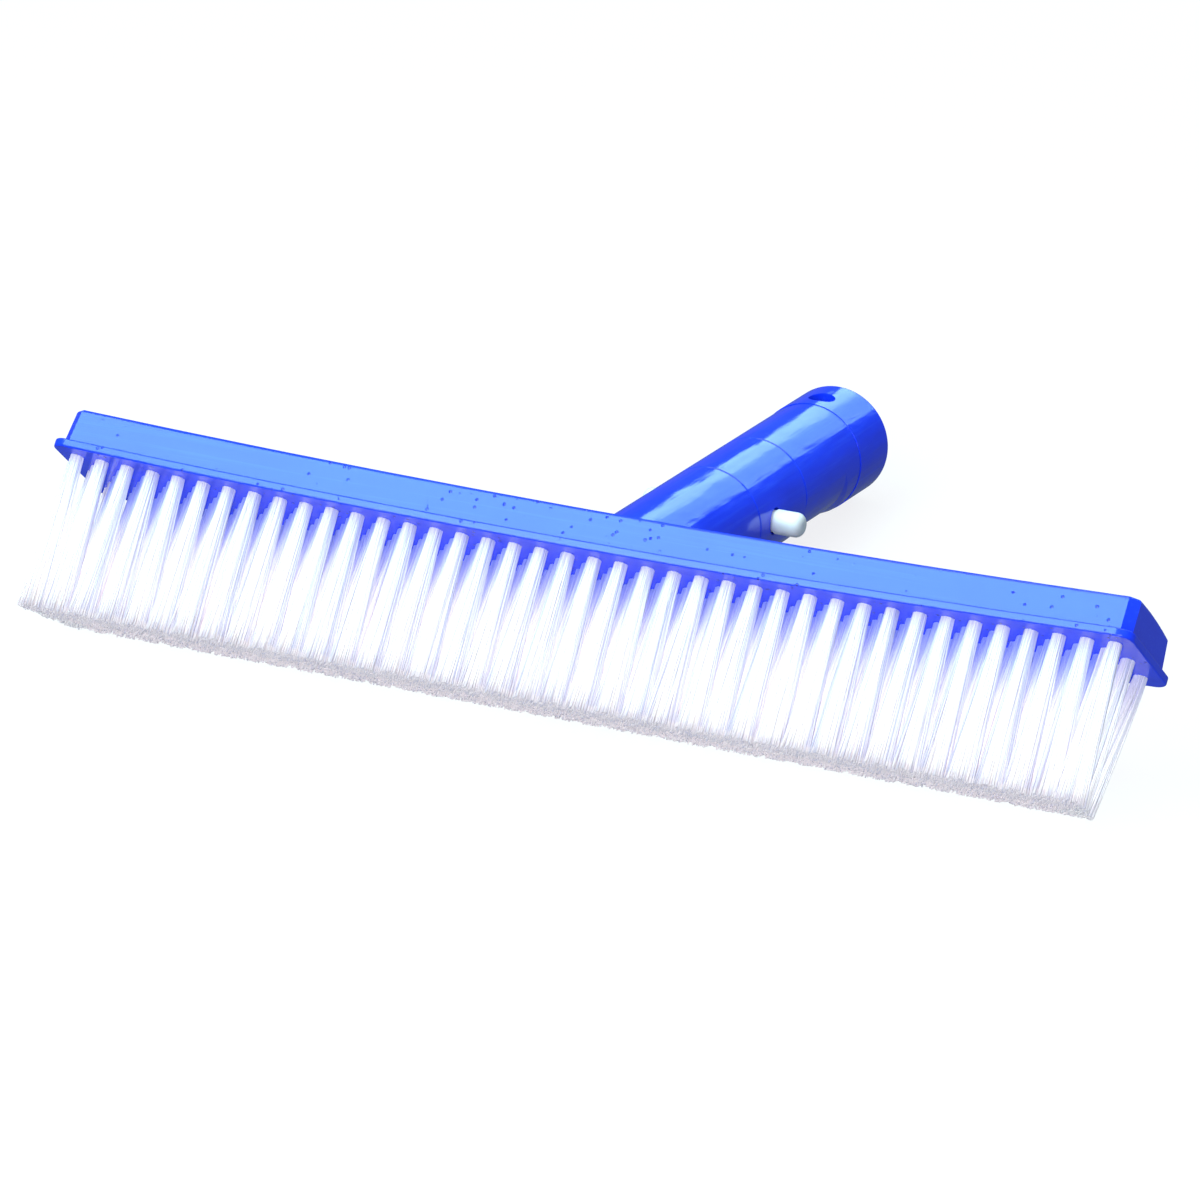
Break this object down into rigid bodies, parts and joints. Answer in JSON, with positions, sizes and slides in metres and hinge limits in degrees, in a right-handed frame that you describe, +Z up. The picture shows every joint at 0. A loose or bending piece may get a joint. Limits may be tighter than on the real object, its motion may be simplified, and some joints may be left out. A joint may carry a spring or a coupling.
{
  "type": "pool wall brush",
  "caption": "Long tufted pool wall brush with a bowed plastic block, an angled tubular pole handle and a two-button spring clip.",
  "frame": {"origin": "on the ground under the middle of the brush's bounding box", "axes": "+X along the block, +Y from the bristles towards the handle's mouth, +Z up. The brush lies as it is put down, tipped back on its rear bristle tips and the lower edge of the handle's mouth"},
  "size_m": [0.2918, 0.1826, 0.0556],
  "materials": {
    "blue_plastic": "glossy moulded",
    "bristle": "satin filament",
    "white_nylon": "smooth moulded",
    "anchor_metal": "stamped",
    "screw_steel": "machined"
  },
  "bodies": {
    "brush": {"tufted_block": "blue_plastic", "handle": "blue_plastic", "handle_saddle": "blue_plastic", "saddle_screw_right": "screw_steel", "saddle_screw_left": "screw_steel", "clip_bend": "white_nylon", "clip_arm_right": "white_nylon", "clip_arm_left": "white_nylon", "tuft_row_1": "bristle", "tuft_row_2": "bristle", "tuft_row_3": "bristle", "tuft_row_4": "bristle", "tuft_row_5": "bristle", "anchor_row_1": "anchor_metal", "anchor_row_2": "anchor_metal", "anchor_row_3": "anchor_metal", "anchor_row_4": "anchor_metal", "anchor_row_5": "anchor_metal"},
    "button_right": {"clip_pin_right": "white_nylon"},
    "button_left": {"clip_pin_left": "white_nylon"}
  },
  "joints": [
    {"name": "button_right_press", "type": "slide", "parent": "brush", "child": "button_right", "axis": [-1, 0, 0], "range_m": [0, 0.0076], "stiffness_N_per_m": 1500, "deforming": ["clip_arm_right"]},
    {"name": "button_left_press", "type": "slide", "parent": "brush", "child": "button_left", "axis": [1, 0, 0], "range_m": [0, 0.0076], "stiffness_N_per_m": 1500, "deforming": ["clip_arm_left"]}
  ]
}
